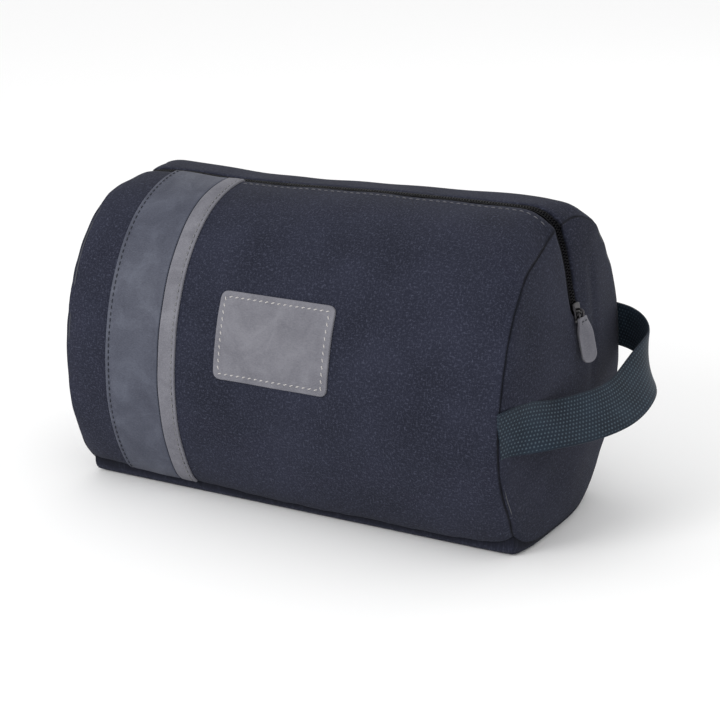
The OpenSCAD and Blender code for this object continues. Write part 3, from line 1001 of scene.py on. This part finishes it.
def patch_stitches():
    """The slanted stitches of the patch's border."""
    sides, r = border_sides()
    around = sum(side[0] for side in sides) + 2 * math.pi * r
    count = 56
    sheet = Sheet()
    for i in range(count):
        spot, direction = border_point((i + 0.5) * around / count)
        side_way = np.array([direction[1], -direction[0]])
        reach = direction * 1.1 - side_way * 0.42
        flat = np.stack([spot - reach, spot + reach])
        front_stitch(sheet, flat[:, 0], patch_mid - flat[:, 1], patch_t - 0.05, 0.36)
    row = sheet.make("patch_border_stitches", pale_thread)
    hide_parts("patch_stitching")
    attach(row, "root")


patch()
patch_stitches()


def topstitching():
    """The row of stitches that holds the zip, just below the front canvas edge."""
    sheet = Sheet()
    pitch = 3.9
    first = narrow_stripe_x[1] + 2
    count = int((124 - first) / pitch)
    arc = arc_at_gap + 5.0
    for i in range(count):
        x = first + i * pitch
        front_stitch(sheet, [x, x + 2.6], [arc, arc], 0.0, 0.3)
    row = sheet.make("zip_topstitching", grey_thread)
    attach(row, "front_flap")


topstitching()


# ---------------- the zip

zip_sink = 0.45  # how far the coil sinks into its gap where it runs down the right end


def zip_line():
    """The zip's centre line from the lower left end, over the top, to the lower right end."""
    top_x = np.linspace(-126, 125, 240)
    top = shell(FRONT, (top_x + 126) / 251, np.zeros_like(top_x))
    left_z = np.linspace(slit_end, top[0, 2] - 0.6, 60)
    right_z = np.linspace(top[-1, 2] - 0.6, slit_end, 60)
    left_side = np.stack([left_middle_x(left_z), 0 * left_z, left_z], axis=-1)
    right_side = np.stack([right_middle_x(right_z), 0 * right_z, right_z], axis=-1)
    top[:, 1] = 0
    points = np.concatenate([left_side, top, right_side])
    arc = arc_length(points)
    even = np.linspace(0, arc[-1], 500)
    even_points = along_path(even, arc, points)
    for _ in range(6):
        even_points[1:-1] = (even_points[:-2] + 2 * even_points[1:-1] + even_points[2:]) / 4
    return even_points, even


zip_points, zip_arc = zip_line()
zip_along = unit(np.gradient(zip_points, axis=0))
zip_out = np.stack([-zip_along[:, 2], 0 * zip_along[:, 0], zip_along[:, 0]], axis=-1)


def on_zip(arc, y, depth):
    """A point of the zip at a place along it, beside its centre line and below the canvas."""
    arc, y, depth = np.broadcast_arrays(np.asarray(arc, float), y, depth)
    from_end = zip_arc[-1] - arc
    sunk = smoothstep((from_end - 14) / 8) * smoothstep((54 - from_end) / 8)
    depth = depth + zip_sink * sunk * (1 - smoothstep((np.abs(y) - 2.6) / 2.4))
    centre = along_path(arc, zip_arc, zip_points)
    out = along_path(arc, zip_arc, zip_out)
    return centre - out * depth[..., None] + np.stack([0 * y, y, 0 * y], axis=-1), out


def zip_half(side, side_name):
    tape = Sheet()
    arc, y = np.meshgrid(
        np.linspace(0, zip_arc[-1], 200), np.linspace(1.0, 13.0, 9), indexing="ij"
    )
    p, out = on_zip(arc, side * y, 1.75 + 0.0028 * y * y)
    tape.slab(p, out, 0.5, np.stack([arc, y], axis=-1))
    tape_piece = tape.make(f"zip_tape_{side_name}", zip_tape)
    end_name = "right" if side == FRONT else "left"
    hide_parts(f"{side_name}_zip_tape", f"zip_end_tape_{end_name}")
    fold(tape_piece)

    coil = Sheet()
    pitch = 1.6
    count = int(zip_arc[-1] / pitch)
    t = np.linspace(0, 1, 6)
    y = side * (-0.55 + 3.5 * t)
    thick = np.array([0.35, 0.62, 0.5, 0.5, 0.52, 0.3])
    for i in range(count):
        start = (i + (0.25 if side == FRONT else 0.75)) * pitch
        lean = 0.35 * pitch * t
        path, out = on_zip(start + lean, y, 0.75 + 0.25 * (1 - np.sin(math.pi * t)))
        add_rod(coil, path, out, thick, sides=6)
    core_arc = np.linspace(0, zip_arc[-1], 240)
    core, out = on_zip(core_arc, side * 2.9, 0.95)
    add_rod(coil, core, out, np.full(len(core_arc), 0.5), sides=6)
    coil_piece = coil.make(f"zip_coil_{side_name}", zip_coil)
    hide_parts(f"{side_name}_zip_coil", f"zip_end_coil_{end_name}")
    fold(coil_piece)


zip_half(FRONT, "front")
zip_half(BACK, "back")


# ---------------- the carry loop

loop_root = (130.0, 0.0, 80.2)
loop_tilt = math.radians(8.1)
loop_droop = math.radians(12.0)
webbing_w = 25.0
webbing_t = 1.6
knot_w = 1.9  # the pale knots of its weave: their width and their length along it
knot_l = 2.1
loop_front = ((-1.2, -75.4), (9.9, -43.2), (33, -22.4), (33, 13.4))
loop_back = ((33, 13.4), (33, 44.7), (23.1, 68.5), (-2.4, 73.6))
droop_x = 8.0
loop_sink = 4.0  # how far the front of the loop hangs under its even curve
loop_reach = 0.4  # how far that part reaches out past it
loop_lean = 1.05  # and how much its lower edge leans out


def loop_line(count):
    """The webbing's centre line, its outward side and its width direction."""
    t = np.linspace(0, 1, 120)
    flat = np.concatenate([bezier(loop_front, t), bezier(loop_back, t)[1:]])
    arc = arc_length(flat)
    even = np.linspace(0, arc[-1], count)
    x, v = along_path(even, arc, flat).T
    ease = smoothstep((v + 70) / 45) * smoothstep((78 - v) / 30)
    droop = loop_droop * ease
    beyond = np.maximum(x - droop_x, 0)
    lx = np.minimum(x, droop_x) + beyond * np.cos(droop)
    lz = -beyond * np.sin(droop)
    y = v * math.cos(loop_tilt) - lz * math.sin(loop_tilt)
    z = v * math.sin(loop_tilt) + lz * math.cos(loop_tilt)
    near_front = smoothstep((v + 72) / 34) * smoothstep((62 - v) / 50)
    sink = loop_sink * smoothstep((v + 72) / 34) * smoothstep((44 - v) / 50)
    line = np.stack([loop_root[0] + lx + loop_reach * near_front, y, loop_root[2] + z - sink], axis=-1)
    along = unit(np.gradient(line, axis=0))
    lean = (0.15 * ease - loop_lean * near_front)[:, None] * np.array([1.0, 0, 0])
    up = np.array([0, -math.sin(loop_tilt), math.cos(loop_tilt)]) + lean
    width = unit(up - along * np.sum(up * along, axis=1, keepdims=True))
    return line, np.cross(width, along), width, even


def carry_loop():
    """The webbing in two halves: each is sewn into its seam and free further out."""
    count = 330
    line, out, width, arc = loop_line(count)
    across = np.linspace(-1, 1, 45)
    middle = int(count * 0.55)
    for name, rows, start_y, end_y in (
        ("front", slice(0, middle + 1), -70, -36), ("back", slice(middle, count), 72, 50)
    ):
        a = arc[rows][:, None]
        w = across[None] * webbing_w / 2
        shift = np.where(np.floor(w / knot_w + 0.5) % 2 == 0, 0.0, math.pi)
        knots = np.sin(2 * math.pi * a / knot_l + shift)
        edge = smoothstep((webbing_w / 2 - np.abs(w)) / 1.6)
        raised = (0.5 + 0.5 * knots) * (0.5 + 0.5 * np.cos(2 * math.pi * w / knot_w)) * edge
        cup = 0.35 * (w / (webbing_w / 2)) ** 2
        p = line[rows][:, None] + width[rows][:, None] * w[..., None]
        n = np.broadcast_to(out[rows][:, None], p.shape)
        half = webbing_t / 2 * (0.45 + 0.55 * np.sqrt(edge))
        face = p + n * (half + 0.4 * raised - 0.2 - cup)[..., None]
        uv = np.stack(np.broadcast_arrays(a, w + 50), axis=-1)
        sheet = Sheet()
        sheet.slab(face, n, 2 * half + 0.4 * raised - 0.2, uv, raised + 0 * half)
        piece = sheet.make(f"webbing_{name}", webbing, smooth_angle=70)
        if name == "front":
            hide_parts("handle_webbing", "handle_tab_front")
        else:
            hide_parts("handle_tab_back")
        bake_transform(piece)


carry_loop()


# ---------------- CAD nodes that show or stay inside

def finish_node(name, material):
    """Gives a CAD node that is kept a better material."""
    node = bpy.data.objects[name]
    if not node.material_slots:
        node.data.materials.append(material)
    for material_slot in node.material_slots:
        material_slot.material = material


for node_name in ("zip_stop_right", "zip_stop_left", "pull_ring"):
    finish_node(node_name, zip_metal)
finish_node("base_board", board)


# ---------------- the slider and its leather pull

slider_place = np.array([135.3, 0, 115.5])
slider_half_length = 4.5
slider_corner = 1.5
slider_lean = math.radians(12.0)
slider_out = np.array([math.cos(slider_lean), 0, math.sin(slider_lean)])
slider_up = np.array([-math.sin(slider_lean), 0, math.cos(slider_lean)])
pull_pin = np.array([138.247, 0, 115.104])
pull_hang = math.radians(19.8)
pull_down = np.array([math.sin(pull_hang), 0, -math.cos(pull_hang)])
pull_out = np.array([math.cos(pull_hang), 0, math.sin(pull_hang)])
pull_start = 2.1  # from the pin to the top of the leather
pull_length = 23.6
pull_half_width = 4.4
pull_t = 2.2
pull_twist = math.radians(36)
pull_bend = 2.6  # how far its lower end falls back towards the bag
sideways = np.array([0, 1.0, 0])


def slider():
    """The slider's two waisted plates, the post between them and the bridge for the pull."""
    sheet = Sheet()
    for inner, outer, half_w in ((0.45, 1.6, 3.8), (-3.8, -2.7, 3.5)):
        xs = lines(2 * half_w, 0.6, leather_fine[:5]) - half_w
        zs = lines(2 * slider_half_length, 0.7, leather_fine[:5]) - slider_half_length
        y, z = np.meshgrid(xs, zs, indexing="ij")
        y, z = square_to_rounded(y, z, half_w, slider_half_length, slider_corner)
        d = edge_distance(y, z, half_w, slider_half_length, slider_corner)
        waist = 1 - 0.2 * smoothstep((2.5 - z) / 6) - 0.08 * bell(z, 1.6)
        thick = outer - inner
        crown = thick * (1 - 0.55 * edge_drop(d, 0.9))
        top = inner + crown
        p = (
            slider_place
            + y[..., None] * waist[..., None] * sideways
            + z[..., None] * slider_up
            + top[..., None] * slider_out
        )
        n = np.broadcast_to(slider_out, p.shape)
        sheet.slab(p, n, crown, np.stack([y + 5, z], axis=-1))
    post = slider_place + np.outer(np.linspace(-3.2, 1.0, 5), slider_out) + 3.4 * slider_up
    add_rod(sheet, post, np.broadcast_to(sideways, post.shape), np.full(5, 0.75), sides=10)
    body = sheet.make("slider_plates", zip_metal)
    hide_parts("slider_body")
    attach(body, "zip_slider")

    arch = Sheet()
    t = np.linspace(0, math.pi, 13)
    out = 1.3 + 3.0 * np.sin(t) ** 0.55
    along = -1.0 + 2.1 * np.cos(t)
    path = slider_place + out[:, None] * slider_out + along[:, None] * slider_up
    add_rod(arch, path, np.broadcast_to(sideways, path.shape), np.full(13, 0.62), sides=12)
    bridge = arch.make("slider_bridge_arch", zip_metal)
    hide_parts("slider_bridge")
    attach(bridge, "zip_slider")


def on_pull(y, t, height):
    """A point of the leather pull: y across it, t down from the pin, height off its middle."""
    turn = pull_twist * smoothstep((t - 3) / 9)
    across = np.cos(turn)[..., None] * sideways + np.sin(turn)[..., None] * pull_out
    out = np.cos(turn)[..., None] * pull_out - np.sin(turn)[..., None] * sideways
    bend = -pull_bend * np.clip((t - pull_start) / pull_length, 0, 1) ** 1.4
    centre = pull_pin + t[..., None] * pull_down + bend[..., None] * pull_out
    return centre + y[..., None] * across + height[..., None] * out, out


def pull():
    """The doubled leather pull with its round end and its two stitches."""
    corner = pull_half_width - 0.05
    half_l = pull_length / 2
    ys = lines(2 * pull_half_width, 0.8, leather_fine[:6]) - pull_half_width
    ts = lines(pull_length, 1.0, leather_fine[:6]) - half_l
    y, t = np.meshgrid(ys, ts, indexing="ij")
    round_y, round_t = square_to_rounded(y, t, pull_half_width, half_l, corner)
    square_y, square_t = square_to_rounded(y, t, pull_half_width, half_l, 1.0)
    low = t > 0
    y2 = np.where(low, round_y, square_y)
    t2 = np.where(low, round_t, square_t)
    d_round = edge_distance(y2, t2, pull_half_width, half_l, corner)
    d_square = edge_distance(y2, t2, pull_half_width, half_l, 1.0)
    d = np.where(low, d_round, d_square)
    height = pull_t / 2 - 0.45 * edge_drop(d, 0.8) - 0.12 * bell(d - 1.6, 0.5)
    place_t = t2 + half_l + pull_start
    wear_and_shade = 0.6 * np.exp(-d / 0.4)
    uv = np.stack([y2 + 500, t2], axis=-1)
    sheet = Sheet()
    face, out = on_pull(y2, place_t, height)
    sheet.slab(face, out, 2 * height, uv, wear_and_shade)
    leather = sheet.make("pull_tab", grey_leather)
    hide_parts("pull_leather")
    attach(leather, "zip_pull")

    rows = Sheet()
    for face_side in (1, -1):
        for start in (-3.1, 0.3):
            ends, out = on_pull(
                np.array([start, start + 2.8]), np.full(2, pull_start + 2.3),
                np.full(2, face_side * (pull_t / 2 - 0.02)),
            )
            add_stitch(rows, ends[0], ends[1], face_side * out[0], 0.32)
    stitched = rows.make("pull_tab_stitches", dark_thread)
    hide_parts("pull_stitching")
    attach(stitched, "zip_pull")


slider()
pull()


# ---------------- camera, floor and light

def photo_camera():
    azimuth = math.radians(29.30)
    elevation = math.radians(16.88)
    distance = 1006.6
    aim = np.array([0, 0, 88.3])
    aside = 9.31
    above = -17.73
    right = np.array([math.cos(azimuth), math.sin(azimuth), 0])
    up = np.array([
        -math.sin(azimuth) * math.sin(elevation),
        math.cos(azimuth) * math.sin(elevation),
        math.cos(elevation),
    ])
    back = np.cross(right, up)
    place = (aim + aside * right + above * up + distance * back) * MM
    data = bpy.data.cameras.new("photo_view")
    data.lens = 92.6
    data.sensor_width = 36
    data.clip_start = 0.05
    camera = new_object("photo_view", data)
    rows = np.stack([right, up, back], axis=1)
    camera.matrix_world = Matrix([[*row, spot] for row, spot in zip(rows, place)] + [[0, 0, 0, 1]])
    bpy.context.scene.camera = camera


def floor():
    mesh = bpy.data.meshes.new("floor")
    size = 6.0
    corners = [(-size, -size, 0), (size, -size, 0), (size, size, 0), (-size, size, 0)]
    mesh.from_pydata(corners, [], [(0, 1, 2, 3)])
    m = Nodes("pale_floor", (0.93, 0.93, 0.93), 0.9)
    mesh.materials.append(m.material)
    piece = new_object("floor", mesh)


def area_light(name, place, aim, size, power):
    data = bpy.data.lights.new(name, "AREA")
    data.shape = "DISK"
    data.size = size
    data.energy = power
    light = new_object(name, data)
    light.location = place
    direction = np.array(aim) - np.array(place)
    light.rotation_euler = Vector(direction).to_track_quat("-Z", "Y").to_euler()


def studio():
    world = bpy.data.worlds.new("studio")
    world.use_nodes = True
    set_inputs(world.node_tree.nodes["Background"], {"Color": (1, 1, 1, 1), "Strength": 1.0})
    bpy.context.scene.world = world
    bpy.context.scene.view_settings.view_transform = "Standard"
    area_light("key", (-0.6, -1.5, 0.8), (0, 0, 0.08), 0.8, 14)
    area_light("fill", (1.5, -0.9, 0.5), (0, 0, 0.08), 0.8, 1)
    area_light("rim", (0.2, 1.5, 1.3), (0, 0, 0.08), 0.8, 2)


photo_camera()
floor()
studio()
